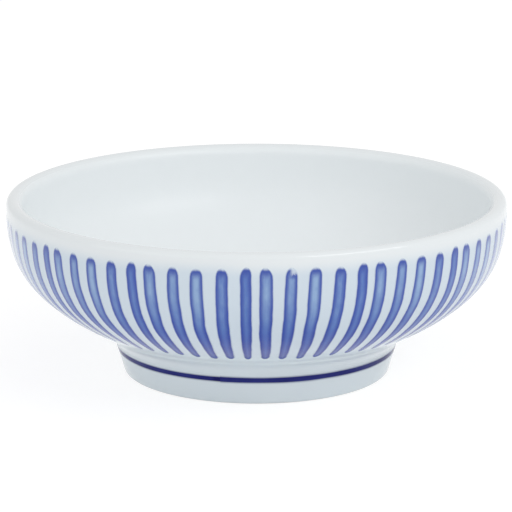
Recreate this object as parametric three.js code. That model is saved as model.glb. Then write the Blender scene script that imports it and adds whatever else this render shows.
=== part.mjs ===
// A shallow white porcelain bowl with a rounded lip, standing on a turned foot ring.
// Millimetres, +Z up. The origin is on the table, at the centre of the foot.

import * as THREE from 'three';

// Bowl wall
const RIM_DIAMETER = 155; // over the outside of the lip
const HEIGHT = 55.7; // from the table to the top of the lip
const WALL_THICKNESS = 5;
const WALL_RISE = 28.6; // slope of the straight lower wall, in degrees
const STRAIGHT_SHARE = 0.23; // how much of the lower wall stays straight before the belly
const BELLY_LOW_PULL = 0.93; // how far the belly is drawn to its corner, from below
const BELLY_HIGH_PULL = 0.6; // and from above
const LIP_OUTER_ROUND = 2;
const LIP_INNER_ROUND = 3;

// Floor of the bowl, and the recess under it
const FLOOR_THICKNESS = 5.8;
const FLOOR_BLEND = 14; // reach of the soft corner between floor and wall, each way
const RECESS_DEPTH = 7.2;

// Foot ring
const FOOT_DIAMETER = 82.6; // at the table
const FOOT_FLARE = 3.5; // how much further out the ring is where it meets the wall
const FOOT_HEIGHT = 12.2; // from the table to where the ring meets the wall
const FOOT_THICKNESS = 6.2;
const FOOT_EDGE_ROUND = 1.2;

// Slip that lutes the ring to the bowl
const SLIP_THICKNESS = 0.4;
const SLIP_BEAD_DROP = 2.9; // how far the bead wiped round the joint reaches down the ring
const SLIP_BEAD_RUN = 7; // and up the wall

// Cobalt line banded round the foot
const LINE_DROP = 4; // from the joint down to the middle of the line
const LINE_WIDTH = 1.6;
const LINE_DEPTH = 0.3;

// Facets round the axis and along each rounded stretch
const TURN_FACETS = 72;
const BELLY_FACETS = 12;
const BLEND_FACETS = 6;
const ROUND_FACETS = 5;

// A point of a half section: distance from the axis, and height above the table
const at = (radius, height) => new THREE.Vector2(radius, height);
const rimRadius = RIM_DIAMETER / 2;
const footRadius = FOOT_DIAMETER / 2;
const joint = at(footRadius + FOOT_FLARE, FOOT_HEIGHT);

// The lower wall rises straight from the joint, and the same slope runs on inwards as the seat
const rise = THREE.MathUtils.degToRad(WALL_RISE);
const slope = Math.tan(rise);
const coneHeight = (radius) => joint.y + (radius - joint.x) * slope;
const baseCorner = at(joint.x - (joint.y - RECESS_DEPTH) / slope, RECESS_DEPTH);

// Outer line of the ring, and its inner face
const faceRadius = (height) => footRadius + (FOOT_FLARE * height) / FOOT_HEIGHT;
const onFace = (height) => at(faceRadius(height), height);
const ringInnerRadius = footRadius - FOOT_THICKNESS;

// Top edge of the ring: where its outer line meets the seat, less the slip
const ringTop = onFace(FOOT_HEIGHT - SLIP_THICKNESS / (1 - (FOOT_FLARE * slope) / FOOT_HEIGHT));

// Quarter round of a corner, from one tangent point to the other
function roundCorner(start, corner, end, facets) {
  return new THREE.QuadraticBezierCurve(start, corner, end).getPoints(facets);
}

// Circular quarter round about a centre, between two angles in degrees
function quarterRound(centre, radius, fromAngle, toAngle) {
  const from = THREE.MathUtils.degToRad(fromAngle);
  const to = THREE.MathUtils.degToRad(toAngle);
  const arc = new THREE.EllipseCurve(centre.x, centre.y, radius, radius, from, to, to < from);
  return arc.getPoints(ROUND_FACETS);
}

// Outline of the underside of the bowl from one radius to a larger one: flat base, then cone
function underside(fromRadius, toRadius, drop) {
  const height = (radius) => Math.max(RECESS_DEPTH, coneHeight(radius)) - drop;
  const points = [at(fromRadius, height(fromRadius))];
  if (fromRadius < baseCorner.x && baseCorner.x < toRadius) {
    points.push(at(baseCorner.x, height(baseCorner.x)));
  }
  return points.concat(at(toRadius, height(toRadius)));
}

// Solid of revolution from a half section drawn anticlockwise, turned so that its axis is Z
function turned(name, section, material) {
  const geometry = new THREE.LatheGeometry(section, TURN_FACETS).rotateX(Math.PI / 2);
  const mesh = new THREE.Mesh(geometry, material);
  mesh.name = name;
  return mesh;
}

const porcelain = new THREE.MeshStandardMaterial({ color: 0xe3ebee, roughness: 0.15, metalness: 0 });
const slip = new THREE.MeshStandardMaterial({ color: 0xdbe4e8, roughness: 0.18, metalness: 0 });
const cobalt = new THREE.MeshStandardMaterial({ color: 0x2b3070, roughness: 0.2, metalness: 0 });

// The bowl: a flat base, a straight lower wall, a belly turning upright, and a rounded lip
function bowlWall() {
  const lipRound = Math.min(LIP_OUTER_ROUND, WALL_THICKNESS - LIP_INNER_ROUND);
  const shoulder = at(rimRadius, HEIGHT - lipRound);
  const corner = at(rimRadius, coneHeight(rimRadius));
  const bellyStart = joint.clone().lerp(corner, STRAIGHT_SHARE);
  const belly = new THREE.CubicBezierCurve(
    bellyStart,
    bellyStart.clone().lerp(corner, BELLY_LOW_PULL),
    shoulder.clone().lerp(corner, BELLY_HIGH_PULL),
    shoulder,
  );

  // The inside follows the outside at the wall's thickness, from the lip's inner round down
  const lipOuter = at(rimRadius - lipRound, HEIGHT - lipRound);
  const lipInner = at(rimRadius - WALL_THICKNESS + LIP_INNER_ROUND, HEIGHT - LIP_INNER_ROUND);
  const inside = [];
  for (let step = BELLY_FACETS; step >= 0; step -= 1) {
    const t = step / BELLY_FACETS;
    const along = belly.getTangent(t);
    const inward = at(-along.y, along.x).multiplyScalar(WALL_THICKNESS);
    const place = belly.getPoint(t).add(inward);
    if (place.y < lipInner.y) {
      inside.push(place);
    }
  }

  // The straight inner wall meets the floor in a soft corner
  const floorHeight = RECESS_DEPTH + FLOOR_THICKNESS;
  const innerStart = inside[inside.length - 1];
  const floorCorner = at(innerStart.x - (innerStart.y - floorHeight) / slope, floorHeight);
  const blendTop = floorCorner.clone().add(at(Math.cos(rise), Math.sin(rise)).multiplyScalar(FLOOR_BLEND));
  const blendEnd = at(floorCorner.x - FLOOR_BLEND, floorHeight);
  return turned('bowl_wall', [
    at(0, RECESS_DEPTH),
    ...underside(ringInnerRadius, joint.x, 0),
    ...belly.getPoints(BELLY_FACETS),
    ...quarterRound(lipOuter, lipRound, 0, 90).slice(1),
    ...quarterRound(lipInner, LIP_INNER_ROUND, 90, 180),
    ...inside,
    ...roundCorner(blendTop, floorCorner, blendEnd, BLEND_FACETS),
    at(0, floorHeight),
  ], porcelain);
}

// Heights of the cobalt line's edges on the ring's outer face
const lineTop = FOOT_HEIGHT - LINE_DROP + LINE_WIDTH / 2;
const lineFoot = lineTop - LINE_WIDTH;
const lineSection = [
  onFace(lineFoot),
  onFace(lineTop),
  onFace(lineTop).sub(at(LINE_DEPTH, 0)),
  onFace(lineFoot).sub(at(LINE_DEPTH, 0)),
];

// The foot ring: a flat standing edge, a flared outer face with the line let into it, and a
// top turned to the underside of the bowl, less the slip
function footRing() {
  const outerTurn = onFace(FOOT_EDGE_ROUND);
  const innerTurn = at(ringInnerRadius, FOOT_EDGE_ROUND);
  const top = underside(ringInnerRadius, ringTop.x, SLIP_THICKNESS);
  const [lowOut, highOut, highIn, lowIn] = lineSection;
  const section = [
    ...roundCorner(
      at(footRadius - FOOT_EDGE_ROUND, 0), at(footRadius, 0), outerTurn, ROUND_FACETS,
    ),
    lowOut,
    lowIn,
    highIn,
    highOut,
    ...top.reverse(),
    ...roundCorner(
      innerTurn, at(ringInnerRadius, 0), at(ringInnerRadius + FOOT_EDGE_ROUND, 0), ROUND_FACETS,
    ),
  ];
  return turned('foot_ring', [...section, section[0]], porcelain);
}

// The slip: a thin layer all over the joint, squeezed out into a hollow bead round the outside
function lutingSlip() {
  const top = underside(ringInnerRadius, joint.x, 0);
  const foot = underside(ringInnerRadius, ringTop.x, SLIP_THICKNESS);
  const upFace = at(FOOT_FLARE, FOOT_HEIGHT).normalize();
  const upWall = at(Math.cos(rise), Math.sin(rise));
  const onRing = joint.clone().sub(upFace.multiplyScalar(SLIP_BEAD_DROP));
  const onWall = joint.clone().add(upWall.multiplyScalar(SLIP_BEAD_RUN));
  const section = [
    ...foot,
    ...roundCorner(onRing, joint, onWall, ROUND_FACETS),
    ...top.reverse(),
  ];
  return turned('luting_slip', [...section, section[0]], slip);
}

// The line: cobalt laid round the foot, flush with its face
function footLine() {
  return turned('foot_line', [...lineSection, lineSection[0]], cobalt);
}

const bowl = new THREE.Group();
bowl.add(bowlWall(), lutingSlip(), footRing(), footLine());

export default bowl;
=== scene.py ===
# A shallow white porcelain bowl on a foot ring, with upright blue brush strokes round the outside.
# Metres, +Z up. The origin is on the table, at the centre of the foot.

import math

import bpy
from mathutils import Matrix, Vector
from mathutils.geometry import interpolate_bezier


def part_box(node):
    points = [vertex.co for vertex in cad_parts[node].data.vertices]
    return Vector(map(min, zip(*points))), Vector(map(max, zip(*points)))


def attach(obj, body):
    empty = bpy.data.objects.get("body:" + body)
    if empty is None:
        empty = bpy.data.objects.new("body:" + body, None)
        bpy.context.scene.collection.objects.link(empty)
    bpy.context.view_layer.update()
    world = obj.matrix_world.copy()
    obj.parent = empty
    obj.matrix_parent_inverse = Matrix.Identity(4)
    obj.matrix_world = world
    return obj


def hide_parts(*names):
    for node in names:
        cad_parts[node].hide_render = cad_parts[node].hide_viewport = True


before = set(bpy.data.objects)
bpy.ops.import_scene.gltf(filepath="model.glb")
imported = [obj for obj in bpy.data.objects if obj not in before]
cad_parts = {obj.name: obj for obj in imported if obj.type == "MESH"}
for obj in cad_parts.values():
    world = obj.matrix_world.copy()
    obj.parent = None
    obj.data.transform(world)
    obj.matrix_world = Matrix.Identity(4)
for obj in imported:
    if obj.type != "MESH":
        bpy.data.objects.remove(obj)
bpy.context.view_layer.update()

# Bowl wall
# One shell of white porcelain, thrown and turned on a wheel: a flat floor, a straight lower wall, a
# belly that turns upright and a thick rounded lip. Clear gloss glaze is fired on, inside and out.

WALL_THICKNESS = 0.005
WALL_RISE = math.radians(28.6)
STRAIGHT_SHARE = 0.23
BELLY_LOW_PULL = 0.93
BELLY_HIGH_PULL = 0.6
LIP_OUTER_ROUND = 0.002
LIP_INNER_ROUND = 0.003
FLOOR_THICKNESS = 0.0058
FLOOR_BLEND = 0.014
JOINT_RADIUS = 0.0448
JOINT_HEIGHT = 0.0122
BELLY_STEPS = 48
BLEND_STEPS = 16
LIP_STEPS = 10
TURN_FACETS = 256
HUB_RADIUS = 0.01
WELD_DISTANCE = 1e-7
CORNER_ANGLE = math.radians(35)


def point(radius, height):
    """A point of a half section, which stands in the XZ plane."""
    return Vector((radius, 0.0, height))


def arc(centre, radius, start, end, steps):
    """Points of a round between two angles in degrees, in the section's plane."""
    turns = [math.radians(start + (end - start) * step / steps) for step in range(steps + 1)]
    return [centre + point(radius * math.cos(turn), radius * math.sin(turn)) for turn in turns]


def soft_corner(start, corner, end, steps):
    """Points of a smooth curve that leaves start and reaches end along the two sides of a corner."""
    return interpolate_bezier(start, start.lerp(corner, 2 / 3), end.lerp(corner, 2 / 3), end, steps)


def inwards(line, distance):
    """The same line, moved by a distance towards the inside of the bowl."""
    moved = []
    for before, here, after in zip(line[:1] + line, line, line[1:] + line[-1:]):
        run = (after - before).normalized()
        moved.append(here + point(-run.z, run.x) * distance)
    return moved


wall_low, wall_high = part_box("bowl_wall")
rim_radius = wall_high.x
rim_height = wall_high.z
base_height = wall_low.z
floor_height = base_height + FLOOR_THICKNESS

uphill = point(math.cos(WALL_RISE), math.sin(WALL_RISE))
joint = point(JOINT_RADIUS, JOINT_HEIGHT)
base_corner = joint - uphill * ((joint.z - base_height) / uphill.z)
belly_corner = joint + uphill * ((rim_radius - joint.x) / uphill.x)
belly_start = joint.lerp(belly_corner, STRAIGHT_SHARE)
shoulder = point(rim_radius, rim_height - LIP_OUTER_ROUND)
belly = interpolate_bezier(
    belly_start,
    belly_start.lerp(belly_corner, BELLY_LOW_PULL),
    shoulder.lerp(belly_corner, BELLY_HIGH_PULL),
    shoulder,
    BELLY_STEPS,
)
lip_middle = point(rim_radius - LIP_OUTER_ROUND, rim_height - LIP_OUTER_ROUND)
lip_edge = point(rim_radius - LIP_OUTER_ROUND, rim_height - LIP_INNER_ROUND)
inside = [place for place in inwards(belly, WALL_THICKNESS)[::-1] if place.z < lip_edge.z]
floor_corner = inside[-1] - uphill * ((inside[-1].z - floor_height) / uphill.z)
outer_line = [joint] + belly
outer_section = [
    point(0, base_height),
    base_corner,
    *outer_line,
    *arc(lip_middle, LIP_OUTER_ROUND, 0, 90, LIP_STEPS)[1:],
]
inner_section = [
    *arc(lip_edge, LIP_INNER_ROUND, 90, 180, LIP_STEPS)[1:],
    *inside,
    *soft_corner(
        floor_corner + uphill * FLOOR_BLEND,
        floor_corner,
        floor_corner - point(FLOOR_BLEND, 0),
        BLEND_STEPS,
    ),
    point(0, floor_height),
]


class Wire:
    """One output of a node. Arithmetic on wires adds Math nodes to their tree."""

    def __init__(self, tree, socket=None):
        self.tree = tree
        self.socket = socket

    def __getitem__(self, name):
        return Wire(self.tree, self.socket.node.outputs[name])

    def node(self, kind, settings, inputs):
        """Adds a node: first its settings, then the value or link of each input. Gives its first output."""
        made = self.tree.nodes.new(kind)
        for name, value in settings.items():
            setattr(made, name, value)
        shown = [socket for socket in made.inputs if socket.enabled]
        for key, value in inputs.items():
            socket = shown[key] if isinstance(key, int) else next(s for s in shown if s.name == key)
            if isinstance(value, Wire):
                self.tree.links.new(value.socket, socket)
            else:
                socket.default_value = value
        return Wire(self.tree, next((socket for socket in made.outputs if socket.enabled), None))

    def maths(self, operation, *others):
        return self.node("ShaderNodeMath", {"operation": operation}, dict(enumerate((self, *others))))

    def __add__(self, other):
        return self.maths("ADD", other)

    def __radd__(self, other):
        return self.maths("ADD", other)

    def __sub__(self, other):
        return self.maths("SUBTRACT", other)

    def __rsub__(self, other):
        return (self * -1).maths("ADD", other)

    def __mul__(self, other):
        return self.maths("MULTIPLY", other)

    def __truediv__(self, other):
        return self.maths("DIVIDE", other)

    def step(self, low, high):
        """Rises smoothly from 0 at low to 1 at high."""
        return self.node(
            "ShaderNodeMapRange",
            {"interpolation_type": "SMOOTHSTEP"},
            {"Value": self, "From Min": low, "From Max": high},
        )

    def mixed(self, colour, other):
        """Goes from one colour to another as this value goes from 0 to 1."""
        settings = {"data_type": "RGBA", "clamp_factor": True}
        return self.node("ShaderNodeMix", settings, {"Factor": self, "A": colour, "B": other})

    def split(self):
        """The X, Y and Z of a place, each to be taken by its name."""
        return self.node("ShaderNodeSeparateXYZ", {}, {"Vector": self})

    def noise(self, scale, detail):
        """Soft noise at a place, about 0.5 on average."""
        return self.node("ShaderNodeTexNoise", {}, {"Vector": self, "Scale": scale, "Detail": detail})


def new_tree(name, inputs):
    """A Geometry Nodes tree with named inputs, and the wire of those inputs."""
    tree = bpy.data.node_groups.new(name, "GeometryNodeTree")
    for label, kind in inputs.items():
        tree.interface.new_socket(label, in_out="INPUT", socket_type="NodeSocket" + kind)
    tree.interface.new_socket("Piece", in_out="OUTPUT", socket_type="NodeSocketGeometry")
    return tree, Wire(tree).node("NodeGroupInput", {}, {})


def with_mark(geometry, name, value, kind="FLOAT"):
    """The same geometry with a named value stored on its points, for a tree or a material to read."""
    return geometry.node(
        "GeometryNodeStoreNamedAttribute",
        {"data_type": kind, "domain": "POINT"},
        {"Geometry": geometry, "Name": name, "Value": value},
    )


def close_tree(geometry, finish):
    """Ends a tree: instances are made real, and the piece gets its material."""
    real = geometry.node("GeometryNodeRealizeInstances", {}, {"Geometry": geometry})
    done = real.node("GeometryNodeSetMaterial", {}, {"Geometry": real, "Material": finish})
    done.node("NodeGroupOutput", {}, {"Piece": done})


def line_object(name, points, closed=False):
    """A curve through points of a half section, for a tree to work on."""
    curve = bpy.data.curves.new(name, "CURVE")
    curve.dimensions = "3D"
    spline = curve.splines.new("POLY")
    spline.points.add(len(points) - 1)
    for corner, place in zip(spline.points, points):
        corner.co = (*place, 1.0)
    spline.use_cyclic_u = closed
    return bpy.data.objects.new(name, curve)


def made_by(tree, start, values):
    """Runs a tree on a start object and gives the result as a plain mesh piece of the same name."""
    bpy.context.scene.collection.objects.link(start)
    modifier = start.modifiers.new(tree.name, "NODES")
    modifier.node_group = tree
    for item in tree.interface.items_tree:
        if item.name in values:
            modifier[item.identifier] = values[item.name]
    bpy.context.view_layer.update()
    view = bpy.context.evaluated_depsgraph_get()
    mesh = bpy.data.meshes.new_from_object(start.evaluated_get(view), depsgraph=view)
    name = start.name
    bpy.data.objects.remove(start)
    mesh.name = name
    piece = bpy.data.objects.new(name, mesh)
    bpy.context.scene.collection.objects.link(piece)
    return piece


def turning_tree():
    """Turns a half section about Z, as clay turns on a wheel, and marks how far each point is along it."""
    inputs = {"Section": "Geometry", "Facets": "Int", "Corner angle": "Float", "Finish": "Material"}
    tree, given = new_tree("turned_on_the_wheel", inputs)
    path = given.node(
        "GeometryNodeCurvePrimitiveCircle", {}, {"Resolution": given["Facets"], "Radius": HUB_RADIUS},
    )
    blade = given.node(
        "GeometryNodeTransform",
        {},
        {
            "Geometry": given["Section"],
            "Translation": (-HUB_RADIUS, 0, 0),
            "Rotation": (math.pi / 2, 0, 0),
        },
    )
    run = given.node("GeometryNodeSplineParameter", {}, {})["Length"]
    measured = with_mark(blade, "run", run)
    swept = given.node("GeometryNodeCurveToMesh", {}, {"Curve": path, "Profile Curve": measured})
    welded = given.node(
        "GeometryNodeMergeByDistance", {}, {"Geometry": swept, "Distance": WELD_DISTANCE},
    )
    smooth = given.node("GeometryNodeSetShadeSmooth", {}, {"Geometry": welded, "Shade Smooth": True})
    angle = given.node("GeometryNodeInputMeshEdgeAngle", {}, {})
    is_corner = angle.node(
        "FunctionNodeCompare", {"operation": "GREATER_THAN"}, {"A": angle, "B": given["Corner angle"]},
    )
    crisp = given.node(
        "GeometryNodeSetShadeSmooth",
        {"domain": "EDGE"},
        {"Geometry": smooth, "Selection": is_corner, "Shade Smooth": False},
    )
    close_tree(crisp, given["Finish"])
    return tree


turned = turning_tree()


def turn(name, section, finish, closed=False):
    values = {"Facets": TURN_FACETS, "Corner angle": CORNER_ANGLE, "Finish": finish}
    return made_by(turned, line_object(name, section, closed), values)


GLAZE_WHITE = (0.825, 0.86, 0.875, 1)
# Painted shade: the glaze on the outside, the lip and the band above the strokes, is greyer than inside.
GLAZE_SHADED_LIP = (0.755, 0.79, 0.805, 1)
# Bluer where cobalt runs into the glaze, and darker there as painted shade.
GLAZE_BLUED_AND_SHADED = (0.605, 0.685, 0.755, 1)
# Painted light: the lowest outside wall and the bead above the joint are paler than the inside.
GLAZE_PAINTED_LIGHT_LOW = (0.825, 0.90, 0.91, 1)
# Painted shade: the foot ring and the glaze under the joint are darker than the wall.
GLAZE_SHADED_FOOT = (0.695, 0.756, 0.792, 1)
GLAZE_IOR = 1.4
GLAZE_ROUGHNESS = 0.10
ROUGHNESS_DRIFT = 0.05
INSIDE_SOFTNESS = 0.26
WAVE_SCALE = 70.0
DIMPLE_SCALE = 420.0
DIMPLE_SHARE = 0.08
RELIEF_STRENGTH = 0.08
RELIEF_DEPTH = 0.0015
CLOUD_SCALE = 24.0
CLOUD_DRIFT = 0.004
LIP_FADE = 0.004
BLUED_AND_SHADED_TOP = 0.0485
BLUED_AND_SHADED_FADE = 0.005
PAINTED_LIGHT_TOP = 0.016
PAINTED_LIGHT_FADE = 0.005
HOLLOW_FADE = 0.003
lip_run = sum((after - before).length for before, after in zip(outer_section, outer_section[1:]))


def new_material(name):
    """A material, its Principled shader node and the wire of its Object coordinates."""
    material = bpy.data.materials.new(name)
    material.use_nodes = True
    shader = material.node_tree.nodes["Principled BSDF"]
    place = Wire(material.node_tree).node("ShaderNodeTexCoord", {}, {})["Object"]
    return material, shader, place


def read_mark(place, name):
    """A value that a tree stored on the mesh, read in a material."""
    return place.node("ShaderNodeAttribute", {"attribute_name": name}, {})["Fac"]


def connect(shader, values):
    """Sets or links the sockets of a Principled shader."""
    for name, value in values.items():
        if isinstance(value, Wire):
            value.tree.links.new(value.socket, shader.inputs[name])
        else:
            shader.inputs[name].default_value = value


def glaze_surface(place):
    """The roughness and the soft waves that fired glaze has everywhere."""
    waves = place.noise(WAVE_SCALE, detail=1.0)
    dimples = place.noise(DIMPLE_SCALE, detail=2.0)
    relief = waves + dimples * DIMPLE_SHARE
    normal = relief.node(
        "ShaderNodeBump", {}, {"Strength": RELIEF_STRENGTH, "Distance": RELIEF_DEPTH, "Height": relief},
    )
    return GLAZE_ROUGHNESS + waves * ROUGHNESS_DRIFT, normal


def white_glaze():
    """Whitest inside, and in the hollow over the foot as painted light; greyer on the lip and darker under
    the joint as painted shade; bluer where cobalt runs into it, and there darker as painted shade.
    """
    material, shader, place = new_material("white_glaze")
    height = place.split()["Z"]
    run = read_mark(place, "run")
    cloudy = height + (place.noise(CLOUD_SCALE, detail=3.0) - 0.5) * CLOUD_DRIFT
    outside = 1 - run.step(lip_run, lip_run + LIP_FADE)
    # The band of strokes: glaze bluer from the cobalt, and darker as painted shade.
    blued_and_shaded = outside * (1 - cloudy.step(BLUED_AND_SHADED_TOP, BLUED_AND_SHADED_TOP + BLUED_AND_SHADED_FADE))
    # Low on the outside the glaze is paler as painted light.
    painted_light_low = outside * (1 - cloudy.step(PAINTED_LIGHT_TOP, PAINTED_LIGHT_TOP + PAINTED_LIGHT_FADE))
    # The outside is greyer than the inside as painted shade.
    rim = outside.mixed(GLAZE_WHITE, GLAZE_SHADED_LIP)
    # Under the joint the glaze is darker as painted shade; just above it, paler as painted light.
    hollow = height.step(JOINT_HEIGHT, JOINT_HEIGHT + HOLLOW_FADE).mixed(GLAZE_SHADED_FOOT, GLAZE_PAINTED_LIGHT_LOW)
    roughness, normal = glaze_surface(place)
    connect(shader, {
        "Base Color": painted_light_low.mixed(blued_and_shaded.mixed(rim, GLAZE_BLUED_AND_SHADED), hollow),
        "Roughness": roughness + (1 - outside) * INSIDE_SOFTNESS,
        "Normal": normal,
        "IOR": GLAZE_IOR,
    })
    return material


glaze = white_glaze()
bowl_wall = turn("bowl_wall_glazed", outer_section + inner_section, glaze)
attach(bowl_wall, "root")
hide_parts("bowl_wall")

# Foot ring
# A ring of the same porcelain, turned with a slight flare, that carries the bowl. It is glazed like
# the wall, but its standing edge is wiped bare before firing and shows the matt white clay.

FOOT_FLARE = 0.0035
FOOT_THICKNESS = 0.0062
FOOT_EDGE_ROUND = 0.0012
FOOT_EDGE_STEPS = 6
FOOT_IOR = 1.2
FOOT_CLOUD_FADE = (0.3, 0.8)
FOOT_CLOUD_SHARE = 0.15
SLIP_THICKNESS = 0.0004
BARE_CLAY = (0.78, 0.745, 0.69, 1)
BARE_HEIGHT = 0.0003
BARE_FADE = 0.0002
BARE_WOBBLE = 0.0004
BARE_WOBBLE_SCALE = 160.0
BARE_ROUGHNESS = 0.6
GRAIN_SCALE = 2600.0
GRAIN_STRENGTH = 0.3
GRAIN_DEPTH = 0.0002

foot_edge = point(JOINT_RADIUS - FOOT_FLARE, 0.0)
ring_inner_radius = foot_edge.x - FOOT_THICKNESS
up_face = (joint - foot_edge).normalized()
inner_edge = point(ring_inner_radius, 0.0)
ring_section = [
    *soft_corner(
        foot_edge - point(FOOT_EDGE_ROUND, 0),
        foot_edge,
        foot_edge + up_face * FOOT_EDGE_ROUND,
        FOOT_EDGE_STEPS,
    ),
    joint - up_face * SLIP_THICKNESS,
    base_corner - point(0, SLIP_THICKNESS),
    point(ring_inner_radius, base_height - SLIP_THICKNESS),
    *soft_corner(
        inner_edge + point(0, FOOT_EDGE_ROUND),
        inner_edge,
        inner_edge + point(FOOT_EDGE_ROUND, 0),
        FOOT_EDGE_STEPS,
    ),
]


def glaze_with_bare_edge():
    material, shader, place = new_material("white_glaze_bare_edge")
    wobbly = place.split()["Z"] + place.noise(BARE_WOBBLE_SCALE, detail=2.0) * BARE_WOBBLE
    bare = 1 - wobbly.step(BARE_HEIGHT, BARE_HEIGHT + BARE_FADE)
    grain = place.noise(GRAIN_SCALE, detail=3.0) * bare
    clouds = place.noise(CLOUD_SCALE, detail=3.0).step(*FOOT_CLOUD_FADE)
    # The foot's glaze is darker than the wall's as painted shade, with paler random clouds.
    white = (clouds * FOOT_CLOUD_SHARE).mixed(GLAZE_SHADED_FOOT, GLAZE_WHITE)
    roughness, normal = glaze_surface(place)
    gritty = grain.node(
        "ShaderNodeBump",
        {},
        {"Strength": GRAIN_STRENGTH, "Distance": GRAIN_DEPTH, "Height": grain, "Normal": normal},
    )
    connect(shader, {
        "Base Color": bare.mixed(white, BARE_CLAY),
        "Roughness": roughness + bare * BARE_ROUGHNESS,
        "Normal": gritty,
        "IOR": FOOT_IOR,
    })
    return material


foot_ring = turn("foot_ring_glazed", ring_section, glaze_with_bare_edge(), closed=True)
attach(foot_ring, "root")
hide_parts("foot_ring")

# Luting slip
# Liquid clay that joins ring and bowl, squeezed out all round and wiped with a finger into a soft
# hollow bead. It is fired with them and covered by the same glaze.

BEAD_DROP = 0.0029
BEAD_RUN = 0.007
BEAD_STEPS = 24

slip_section = [
    *soft_corner(joint - up_face * BEAD_DROP, joint, joint + uphill * BEAD_RUN, BEAD_STEPS),
    joint,
    base_corner,
    point(ring_inner_radius, base_height),
    point(ring_inner_radius, base_height - SLIP_THICKNESS),
    base_corner - point(0, SLIP_THICKNESS),
    joint - up_face * SLIP_THICKNESS,
]
luting_slip = turn("luting_slip_glazed", slip_section, glaze, closed=True)
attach(luting_slip, "root")
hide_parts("luting_slip")

# Brush strokes
# Upright strokes of watered cobalt on the bare clay, under the glaze, in a strip of five that is laid
# fourteen times round, each time a little higher or lower. Pigment settles darker round each stroke and at
# its top, where the brush landed.

STRIP_STROKES = 5
STRIP_COUNT = 14
STRIP_SLIP = (-0.0006, 0.0004)
FIRST_STROKE = math.radians(-7.92)
STROKE_STRAY = math.radians(0.4)
STROKE_HALF_ANGLE = math.radians(1.57)
STROKE_WIDTH_SPREAD = (0.93, 1.1)
STROKE_TOP = 0.0514
STROKE_TOP_SPREAD = (-0.0003, 0.0003)
STROKE_TOP_ROUND = (0.0024, 0.0034)
STROKE_TOP_BEND = (-0.0002, 0.0006)
STROKE_TIP_LEAN = (-0.0006, 0.0006)
STROKE_FOOT = 0.0182
STROKE_FOOT_SPREAD = (-0.0006, 0.0006)
STROKE_FOOT_ROUND = (0.0022, 0.0036)
STROKE_FOOT_BEND = (-0.0003, 0.0006)
STROKE_BEND_START = 0.5
STROKE_END_WIDTH = 0.95
STROKE_SWELL = 0.3
STROKE_TAIL_WIDTH = 0.92
STROKE_TAIL_SHARE = 0.35
STROKE_LIFT = 0.00004
STROKE_SINK = 0.00015
STROKE_COLUMNS = 9
STROKE_ROWS = 33
SIDE_WAVER = 0.0006
LEFT_WAVES = (5.0, 1.5)
RIGHT_WAVES = (5.0, 8.5)
WAVES_APART = 3.7
TOP_EDGE_SHARE = 0.48
FOOT_EDGE_SHARE = 0.8
SPACING_SEED = 60667
WASH_SEED = 4217695
SHAPE_SEED = 8078075
HAND_SEED = 28575


def run_at_height(line, height):
    """How far along a rising line it reaches a height."""
    run = 0.0
    for before, after in zip(line, line[1:]):
        if after.z >= height:
            return run + (after - before).length * (height - before.z) / (after.z - before.z)
        run += (after - before).length
    return run


def round_the_axis(radius, angle, height):
    """A place at an angle round the axis, counted from the front to the right."""
    return radius.node(
        "ShaderNodeCombineXYZ",
        {},
        {"X": radius * angle.maths("SINE"), "Y": radius * angle.maths("COSINE") * -1, "Z": height},
    )


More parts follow.
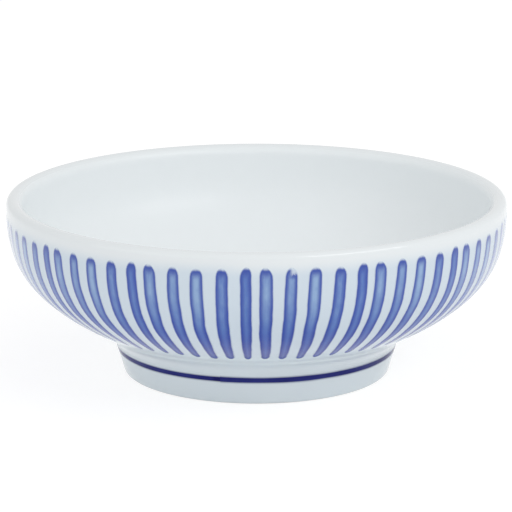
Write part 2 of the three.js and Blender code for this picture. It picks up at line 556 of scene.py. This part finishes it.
def stroke_tree():
    """Lays strokes of one grid shape round a rising wall line."""
    inputs = {
        "Wall line": "Geometry",
        "Count": "Int",
        "Strip": "Int",
        "First angle": "Float",
        "Half angle": "Float",
        "Stray": "Float",
        "Foot run": "Float",
        "Top run": "Float",
        "Lift": "Float",
        "Sink": "Float",
        "Spacing seed": "Int",
        "Wash seed": "Int",
        "Shape seed": "Int",
        "Hand seed": "Int",
        "Finish": "Material",
    }
    tree, given = new_tree("brush_strokes", inputs)

    def read(name, kind):
        return given.node("GeometryNodeInputNamedAttribute", {"data_type": kind}, {"Name": name})

    grid = given.node(
        "GeometryNodeMeshCube",
        {},
        {"Size": (2, 1, 1), "Vertices X": STROKE_COLUMNS, "Vertices Y": STROKE_ROWS, "Vertices Z": 2},
    )
    shape = with_mark(grid, "grid", given.node("GeometryNodeInputPosition", {}, {}), "FLOAT_VECTOR")
    row = given.node("GeometryNodeMeshLine", {}, {"Count": given["Count"]})
    numbered = with_mark(row, "stroke", given.node("GeometryNodeInputIndex", {}, {}))
    laid = given.node("GeometryNodeInstanceOnPoints", {}, {"Points": numbered, "Instance": shape})
    real = given.node("GeometryNodeRealizeInstances", {}, {"Geometry": laid})

    number = read("stroke", "FLOAT")
    in_strip = number.maths("MODULO", given["Strip"])
    strip = (number / given["Strip"]).maths("FLOOR")
    place = read("grid", "FLOAT_VECTOR").split()
    across = place["X"]
    along = 0.5 - ((place["Y"] + 0.5) * math.pi).maths("COSINE") * 0.5
    is_top = place["Z"].maths("GREATER_THAN", 0.0)

    def drawn(spread, seed, who):
        low, high = spread
        return given.node(
            "FunctionNodeRandomValue",
            {"data_type": "FLOAT"},
            {"Min": low, "Max": high, "ID": who, "Seed": seed},
        )

    def chance(spread, turn):
        return drawn(spread, given["Shape seed"] + turn, in_strip)

    def waver(scale, turn):
        at = given.node(
            "ShaderNodeCombineXYZ", {}, {"X": along * scale, "Y": in_strip * WAVES_APART, "Z": turn},
        )
        return at.noise(1.0, detail=1.0) - 0.5

    # Where each point lies up the wall
    foot = given["Foot run"] + chance(STROKE_FOOT_SPREAD, 1)
    top = given["Top run"] + chance(STROKE_TOP_SPREAD, 2) + drawn(STRIP_SLIP, given["Hand seed"], strip)
    length = top - foot
    sample = given.node(
        "GeometryNodeSampleCurve",
        {"mode": "LENGTH", "data_type": "FLOAT"},
        {"Curves": given["Wall line"], "Length": foot + along * length},
    )
    spot = sample["Position"].split()
    slope = sample["Tangent"].split()

    # How wide the stroke is there, and how far it strays to the side
    top_gap = (1 - along) * length
    foot_gap = along * length
    top_round = (top_gap / chance(STROKE_TOP_ROUND, 3)).maths("MINIMUM", 1.0)
    foot_round = (foot_gap / chance(STROKE_FOOT_ROUND, 4)).maths("MINIMUM", 1.0)
    end_round = (top_round * (2 - top_round)).maths("SQRT") * (foot_round * (2 - foot_round)).maths("SQRT")
    swell = along * (1 - along) * STROKE_SWELL + STROKE_END_WIDTH
    taper = STROKE_TAIL_WIDTH + along.step(0.0, STROKE_TAIL_SHARE) * (1 - STROKE_TAIL_WIDTH)
    half_width = (
        given["Half angle"] * spot["X"] * taper * swell * end_round * chance(STROKE_WIDTH_SPREAD, 5)
    )
    left = waver(*LEFT_WAVES) * SIDE_WAVER
    right = waver(*RIGHT_WAVES) * SIDE_WAVER
    ragged = (left * (1 - across) + right * (1 + across)) * 0.5 * end_round
    top_bend = along.step(STROKE_BEND_START, 1.0) * chance(STROKE_TOP_BEND, 6)
    foot_bend = (1 - along).step(STROKE_BEND_START, 1.0) * chance(STROKE_FOOT_BEND, 7)
    tip = (1 - top_round) * chance(STROKE_TIP_LEAN, 8)
    sideways = across * half_width + ragged + top_bend + foot_bend + tip
    angle = (
        given["First angle"]
        + number * math.tau / given["Count"]
        + drawn((-1.0, 1.0), given["Spacing seed"], in_strip) * given["Stray"]
        + sideways / spot["X"]
    )

    # The paint stands a little proud of the wall, and its underside lies in it
    crown = given["Lift"] * (1 + (1 - across * across) * end_round)
    lift = is_top * (crown + given["Sink"]) - given["Sink"]
    position = round_the_axis(spot["X"] + slope["Z"] * lift, angle, spot["Z"] - slope["X"] * lift)
    painted = given.node("GeometryNodeSetPosition", {}, {"Geometry": real, "Position": position})
    edge_gap = ((1 - across.maths("ABSOLUTE")) * half_width).maths("MINIMUM", top_gap * TOP_EDGE_SHARE)
    marks = {
        "across": across,
        "along": along,
        "edge_gap": edge_gap.maths("MINIMUM", foot_gap * FOOT_EDGE_SHARE),
        "in_strip": in_strip,
        "water": drawn((0.0, 1.0), given["Wash seed"], in_strip),
    }
    for name, value in marks.items():
        painted = with_mark(painted, name, value)
    close_tree(painted, given["Finish"])
    return tree


COBALT_DARK = (0.008, 0.045, 0.34, 1)
COBALT_MIDDLE = (0.062, 0.150, 0.46, 1)
COBALT_PALE = (0.245, 0.38, 0.61, 1)
COBALT_VIOLET = (0.065, 0.118, 0.44, 1)
COBALT_SETTLED = (0.008, 0.028, 0.29, 1)
STROKE_IOR = 1.3
COAT_IOR = 1.5
COAT_ROUGHNESS = 0.12
COAT_FADE = (0.35, 0.8)
SOAK_WIDTH = 0.0005
RIM_WIDTH = 0.0019
RIM_STRENGTH = 0.95
WASH_FADE = (0.4, 0.85)
TAIL_FADE = (0.1, 0.65)
WATER_SHARE = 1.05
POOLS = (0.7, 3.0, 0.0)
POOL_SHARE = 0.8
HAIRS = (4.0, 1.5, 50.0)
HAIR_SHARE = 0.6
BLOTS = (0.9, 9.0, 130.0)
BLOT_SHARE = 0.9
EDGE_WAVES = (1.0, 8.0, 90.0)
EDGE_WAVER = 0.0003
STREAKS_APART = 5.3
DRY_STROKE = 3
NOTCH_TEETH = (5.0, 60.0, 20.0)
NOTCH_TOOTH = 0.04
NOTCH_SLANT = 0.012
NOTCH_SIDE = (-0.45, 0.3)
NOTCH_RIM = (0.905, 0.936)
NOTCH_RIM_STRENGTH = 0.7
NOTCH_FLOOR = (0.932, 0.965)
NOTCH_DRYNESS = 0.85


def cobalt_brushwork():
    """A watery filling, paler where the brush held more water, inside a settled dark edge."""
    material, shader, place = new_material("cobalt_brushwork")
    across = read_mark(place, "across")
    along = read_mark(place, "along")
    in_strip = read_mark(place, "in_strip")

    def streak(fine, long, offset):
        """Unevenness of the pigment, about 0 on average: how fine it is across, and how long."""
        at = place.node(
            "ShaderNodeCombineXYZ",
            {},
            {"X": across * fine, "Y": along * long, "Z": in_strip * STREAKS_APART + offset},
        )
        return at.noise(1.0, detail=2.0) - 0.5

    blots = streak(*BLOTS) * BLOT_SHARE
    water = read_mark(place, "water") * WATER_SHARE
    thin = water + streak(*POOLS) * POOL_SHARE + streak(*HAIRS) * HAIR_SHARE + blots
    wash = (thin * along.step(*WASH_FADE)).mixed(COBALT_MIDDLE, COBALT_PALE)
    tail = 1 - along.step(*TAIL_FADE)
    washed = (tail - blots).mixed(wash, COBALT_VIOLET)
    edge = tail.mixed(COBALT_DARK, COBALT_SETTLED)
    gap = read_mark(place, "edge_gap") + streak(*EDGE_WAVES) * EDGE_WAVER
    soaked = gap.step(0.0, SOAK_WIDTH)
    rim = 1 - gap.step(SOAK_WIDTH, RIM_WIDTH)
    painted = (rim * RIM_STRENGTH).mixed(washed, edge)

    # One stroke has a dry notch at its top, where the brush skipped and pigment settled under the gap
    is_dry = read_mark(place, "stroke").maths("COMPARE", DRY_STROKE, 0.5)
    ragged = streak(*NOTCH_TEETH) * NOTCH_TOOTH
    climb = along - across * NOTCH_SLANT + ragged
    side = is_dry * (across + ragged).step(*NOTCH_SIDE)
    settled = (side * climb.step(*NOTCH_RIM) * NOTCH_RIM_STRENGTH).mixed(painted, COBALT_DARK)
    covered = soaked * (1 - side * climb.step(*NOTCH_FLOOR) * NOTCH_DRYNESS)
    roughness, normal = glaze_surface(place)
    # Round the strokes the glaze is bluer from the cobalt, and darker as painted shade.
    connect(shader, {
        "Base Color": covered.mixed(GLAZE_BLUED_AND_SHADED, settled),
        "Roughness": roughness,
        "Normal": normal,
        "IOR": STROKE_IOR,
        "Coat Weight": along.step(*COAT_FADE),
        "Coat Roughness": COAT_ROUGHNESS,
        "Coat IOR": COAT_IOR,
    })
    return material


strokes = made_by(stroke_tree(), line_object("brush_strokes", outer_line), {
    "Count": STRIP_STROKES * STRIP_COUNT,
    "Strip": STRIP_STROKES,
    "First angle": FIRST_STROKE,
    "Half angle": STROKE_HALF_ANGLE,
    "Stray": STROKE_STRAY,
    "Foot run": run_at_height(outer_line, STROKE_FOOT),
    "Top run": run_at_height(outer_line, STROKE_TOP),
    "Lift": STROKE_LIFT,
    "Sink": STROKE_SINK,
    "Spacing seed": SPACING_SEED,
    "Wash seed": WASH_SEED,
    "Shape seed": SHAPE_SEED,
    "Hand seed": HAND_SEED,
    "Finish": cobalt_brushwork(),
})
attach(strokes, "root")

# Foot line
# A line of stronger cobalt, banded round the foot with one loaded brush while the bowl turns on the
# wheel, under the glaze. Its end overlaps its start, where the line is a little wider and darker.

LINE_DROP = 0.004
LINE_WIDTH = 0.003
LINE_LOADED = 1.07
LINE_SPENT = 0.11
LINE_WIDTH_WAVER = 0.2
LINE_WIDTH_WAVES = (22.0, 1.5)
LINE_HEIGHT_WAVER = 0.0003
LINE_HEIGHT_WAVES = (9.0, 7.5)
LINE_START = math.radians(-17.5)
LINE_OVERLAP = math.radians(3)
LINE_LIFT = 0.00003
LINE_SINK = 0.0002
LINE_CROWN = 0.6
LINE_STEPS = 360
LINE_ROWS = 5


def band_tree():
    """Lays one long strip round a flared face, with its end over its start. It makes the strip itself."""
    inputs = {
        "Start": "Geometry",
        "Foot radius": "Float",
        "Flare": "Float",
        "Middle": "Float",
        "Width": "Float",
        "First angle": "Float",
        "Overlap": "Float",
        "Lift": "Float",
        "Sink": "Float",
        "Steps": "Int",
        "Finish": "Material",
    }
    tree, given = new_tree("banded_line", inputs)
    strip = given.node(
        "GeometryNodeMeshCube",
        {},
        {"Size": (1, 2, 1), "Vertices X": given["Steps"], "Vertices Y": LINE_ROWS, "Vertices Z": 2},
    )
    place = given.node("GeometryNodeInputPosition", {}, {}).split()
    along = place["X"] + 0.5
    across = place["Y"]
    is_top = place["Z"].maths("GREATER_THAN", 0.0)
    angle = given["First angle"] + along * (given["Overlap"] + math.tau)

    def waver(scale, turn):
        at = given.node("ShaderNodeCombineXYZ", {}, {"X": along * scale, "Y": turn})
        return at.noise(1.0, detail=1.0) - 0.5

    loaded = LINE_LOADED - along * LINE_SPENT + waver(*LINE_WIDTH_WAVES) * LINE_WIDTH_WAVER
    middle = given["Middle"] + waver(*LINE_HEIGHT_WAVES) * LINE_HEIGHT_WAVER
    height = middle + across * (given["Width"] * loaded) * 0.5
    crown = given["Lift"] * (1 + along + (1 - across * across) * LINE_CROWN)
    lift = is_top * (crown + given["Sink"]) - given["Sink"]
    radius = given["Foot radius"] + height * given["Flare"] + lift
    marked = with_mark(with_mark(strip, "across", across), "along", along)
    laid = given.node(
        "GeometryNodeSetPosition",
        {},
        {"Geometry": marked, "Position": round_the_axis(radius, angle, height)},
    )
    close_tree(laid, given["Finish"])
    return tree


LINE_COBALT = (0.012, 0.015, 0.145, 1)
LINE_COBALT_THIN = (0.028, 0.038, 0.22, 1)
LINE_COBALT_DOUBLED = (0.005, 0.006, 0.10, 1)
LINE_CORE = 0.46
LINE_BLEED = 0.35
LINE_THIN_FADE = (0.3, 0.8)
LINE_THIN_SHARE = 0.6
LINE_OVERLAP_FADE = 0.003
DRAG_ALONG = 30.0
DRAG_ACROSS = 0.8


def banded_cobalt():
    """Dense paint with thinner drags along it, darker where it lies double, bled out at its edges."""
    material, shader, place = new_material("banded_cobalt")
    across = read_mark(place, "across")
    along = read_mark(place, "along")
    at = place.node("ShaderNodeCombineXYZ", {}, {"X": along * DRAG_ALONG, "Y": across * DRAG_ACROSS})
    drag = at.noise(1.0, detail=3.0).step(*LINE_THIN_FADE)
    paint = (drag * LINE_THIN_SHARE).mixed(LINE_COBALT, LINE_COBALT_THIN)
    full_turn = math.tau / (math.tau + LINE_OVERLAP)
    doubled = along.step(full_turn - LINE_OVERLAP_FADE, full_turn + LINE_OVERLAP_FADE)
    bled = across.maths("ABSOLUTE").step(LINE_CORE, 1.0).maths("POWER", LINE_BLEED)
    roughness, normal = glaze_surface(place)
    # The line's edges fade into the foot's glaze colour, which is painted darker as shade.
    connect(shader, {
        "Base Color": bled.mixed(doubled.mixed(paint, LINE_COBALT_DOUBLED), GLAZE_SHADED_FOOT),
        "Roughness": roughness,
        "Normal": normal,
        "IOR": FOOT_IOR,
    })
    return material


foot_line = made_by(band_tree(), line_object("foot_line_band", [joint, shoulder]), {
    "Foot radius": foot_edge.x,
    "Flare": (joint.x - foot_edge.x) / joint.z,
    "Middle": JOINT_HEIGHT - LINE_DROP,
    "Width": LINE_WIDTH,
    "First angle": LINE_START,
    "Overlap": LINE_OVERLAP,
    "Lift": LINE_LIFT,
    "Sink": LINE_SINK,
    "Steps": LINE_STEPS,
    "Finish": banded_cobalt(),
})
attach(foot_line, "root")
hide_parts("foot_line")

# Table, light and camera
# A plain white table that keeps the bowl's faint shadow, soft light from all round with a broad lamp on
# either side, and a long lens a little above the rim.

FLOOR_SIZE = 8.0
FLOOR_WHITE = (0.90, 0.905, 0.91, 1)
FLOOR_LIT = 0.12
FLOOR_SHADED = (0.30, 0.30, 0.30, 1)
FLOOR_GLOW = 0.78
ROOM_LIGHT = (0.765, 0.765, 0.765, 1)
ROOM_SEEN = (0.90, 0.90, 0.90, 1)
WHITE = (1, 1, 1, 1)
KEY_PLACE = (0.69, -0.57, 0.78)
KEY_WIDTH = 0.92
KEY_HEIGHT = 0.26
KEY_POWER = 3.4
FILL_PLACE = (-1.0, -0.7, 0.3)
FILL_WIDTH = 1.0
FILL_HEIGHT = 1.0
FILL_POWER = 1.9
CAMERA_RISE = math.radians(14.46)
CAMERA_DISTANCE = 0.9734
CAMERA_AIM_LIFT = 0.0078
CAMERA_AIM_SIDE = -0.00016
LENS = 219.0
SENSOR = 36.0


def seen_directly(wire):
    """1 for what the camera sees, straight or by reflection or refraction, and 0 for light that bounces."""
    path = wire.node("ShaderNodeLightPath", {}, {})
    mirrored = path["Is Glossy Ray"].maths("MAXIMUM", path["Is Transmission Ray"])
    return path["Is Camera Ray"].maths("MAXIMUM", mirrored)


def white_table():
    """Lights the bowl as a white table does, and looks almost blank to the camera, but for the shadow."""
    material = bpy.data.materials.new("white_table")
    material.use_nodes = True
    tree = material.node_tree
    tree.nodes.clear()
    start = Wire(tree)

    def lit(colour, strength):
        painted = start.node("ShaderNodeBsdfDiffuse", {}, {"Color": colour})
        glow = start.node("ShaderNodeEmission", {}, {"Color": WHITE, "Strength": strength})
        return start.node("ShaderNodeAddShader", {}, {0: painted, 1: glow})

    felt = lit(FLOOR_WHITE, FLOOR_LIT)
    seen = lit(FLOOR_SHADED, FLOOR_GLOW)
    shader = start.node("ShaderNodeMixShader", {}, {"Fac": seen_directly(start), 1: felt, 2: seen})
    start.node("ShaderNodeOutputMaterial", {}, {"Surface": shader})
    return material


table_mesh = bpy.data.meshes.new("table")
reach = FLOOR_SIZE / 2
corners = [(-reach, -reach, 0), (reach, -reach, 0), (reach, reach, 0), (-reach, reach, 0)]
table_mesh.from_pydata(corners, [], [(0, 1, 2, 3)])
table_mesh.materials.append(white_table())
table = bpy.data.objects.new("table", table_mesh)
bpy.context.scene.collection.objects.link(table)

room = bpy.data.worlds.new("white_room")
room.use_nodes = True
room.node_tree.nodes.clear()
room_start = Wire(room.node_tree)
room_colour = seen_directly(room_start).mixed(ROOM_LIGHT, ROOM_SEEN)
room_light = room_start.node("ShaderNodeBackground", {}, {"Color": room_colour, "Strength": 1.0})
room_start.node("ShaderNodeOutputWorld", {}, {"Surface": room_light})
bpy.context.scene.world = room

bowl_middle = Vector((0, 0, rim_height / 2))


def soft_lamp(name, place, width, height, power):
    """A broad flat lamp that faces the bowl."""
    lamp_data = bpy.data.lights.new(name, "AREA")
    lamp_data.shape = "RECTANGLE"
    lamp_data.size = width
    lamp_data.size_y = height
    lamp_data.energy = power
    lamp = bpy.data.objects.new(name, lamp_data)
    lamp.location = place
    lamp.rotation_euler = (bowl_middle - lamp.location).to_track_quat("-Z", "Y").to_euler()
    bpy.context.scene.collection.objects.link(lamp)


soft_lamp("key_lamp", KEY_PLACE, KEY_WIDTH, KEY_HEIGHT, KEY_POWER)
soft_lamp("fill_lamp", FILL_PLACE, FILL_WIDTH, FILL_HEIGHT, FILL_POWER)

camera_data = bpy.data.cameras.new("camera")
camera_data.lens = LENS
camera_data.sensor_width = SENSOR
camera = bpy.data.objects.new("camera", camera_data)
towards = Vector((0, math.cos(CAMERA_RISE), -math.sin(CAMERA_RISE)))
camera_up = Vector((0, math.sin(CAMERA_RISE), math.cos(CAMERA_RISE)))
camera.location = bowl_middle - towards * CAMERA_DISTANCE
aim = bowl_middle + camera_up * CAMERA_AIM_LIFT + Vector((CAMERA_AIM_SIDE, 0, 0))
camera.rotation_euler = (aim - camera.location).to_track_quat("-Z", "Y").to_euler()
bpy.context.scene.collection.objects.link(camera)
bpy.context.scene.camera = camera
bpy.context.scene.view_settings.view_transform = "Standard"
